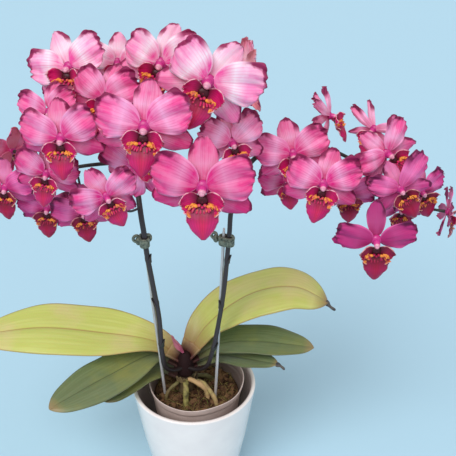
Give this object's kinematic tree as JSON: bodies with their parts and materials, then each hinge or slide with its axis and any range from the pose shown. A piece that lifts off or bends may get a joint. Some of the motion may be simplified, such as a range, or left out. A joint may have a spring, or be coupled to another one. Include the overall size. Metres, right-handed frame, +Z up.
{
  "type": "potted moth orchid",
  "caption": "Branching moth orchid with two staked arching sprays of pink blooms and strap leaves, in a clear grow pot inside a tapered white cover pot.",
  "frame": {"origin": "centre of the cover pot's flat underside", "axes": "+Z up, -Y towards the front, where the blooms face, and +X to the right as seen from the front"},
  "size_m": [0.4676, 0.171, 0.4946],
  "materials": {
    "pot_glaze": "smooth glossy white glaze",
    "liner_plastic": "thin clear tinted plastic",
    "bark_medium": "rough dark bark chips and moss",
    "root": "matt greenish tan root skin",
    "crown": "dull red-brown leaf sheaths",
    "young_leaf": "smooth pink-red young leaf",
    "leaf_yellow_green": "waxy yellow-green leaf",
    "leaf_dark_green": "waxy dark green leaf",
    "flower_stem": "smooth dark grey-green stem",
    "stake": "grey coated wire",
    "clip": "moulded dark green plastic",
    "petal_pale": "velvety pale rose petals with dark edges",
    "petal_rose": "velvety rose petals with dark edges",
    "petal_purple": "velvety magenta petals with dark edges",
    "lip": "velvety crimson lip with orange marks"
  },
  "bodies": {
    "root": {"pot": "pot_glaze", "liner": "liner_plastic", "medium": "bark_medium", "roots": "root", "crown": "crown", "young_leaf": "young_leaf", "leaf_left_upper": "leaf_yellow_green", "leaf_left_middle": "leaf_dark_green", "leaf_left_lower": "leaf_dark_green", "leaf_right_upper": "leaf_yellow_green", "leaf_right_middle": "leaf_dark_green", "leaf_right_lower": "leaf_dark_green", "spike_left": "flower_stem", "stake_left": "stake", "clip_left": "clip", "spike_right": "flower_stem", "stake_right": "stake", "clip_right": "clip", "bloom_left_1": "petal_pale", "bloom_left_2": "petal_pale", "bloom_left_3": "petal_rose", "bloom_left_4": "petal_pale", "lip_left_4": "lip", "bloom_left_5": "petal_pale", "lip_left_5": "lip", "bloom_left_6": "petal_rose", "lip_left_6": "lip", "bloom_left_7": "petal_rose", "lip_left_7": "lip", "bloom_left_8": "petal_rose", "bloom_left_9": "petal_rose", "lip_left_9": "lip", "bloom_left_10": "petal_purple", "bloom_left_11": "petal_rose", "bloom_left_12": "petal_purple", "bloom_left_13": "petal_purple", "lip_left_13": "lip", "bloom_left_14": "petal_rose", "lip_left_14": "lip", "bloom_left_15": "petal_purple", "bloom_left_16": "petal_pale", "bloom_right_1": "petal_rose", "lip_right_1": "lip", "bloom_right_2": "petal_rose", "bloom_right_3": "petal_rose", "bloom_right_4": "petal_rose", "bloom_right_5": "petal_rose", "lip_right_5": "lip", "bloom_right_6": "petal_rose", "bloom_right_7": "petal_rose", "bloom_right_8": "petal_rose", "lip_right_8": "lip", "bloom_right_9": "petal_purple", "bloom_right_10": "petal_purple", "bloom_right_11": "petal_purple", "lip_right_11": "lip", "bloom_right_12": "petal_purple", "bloom_right_13": "petal_purple", "bloom_right_14": "petal_purple"}
  },
  "joints": []
}
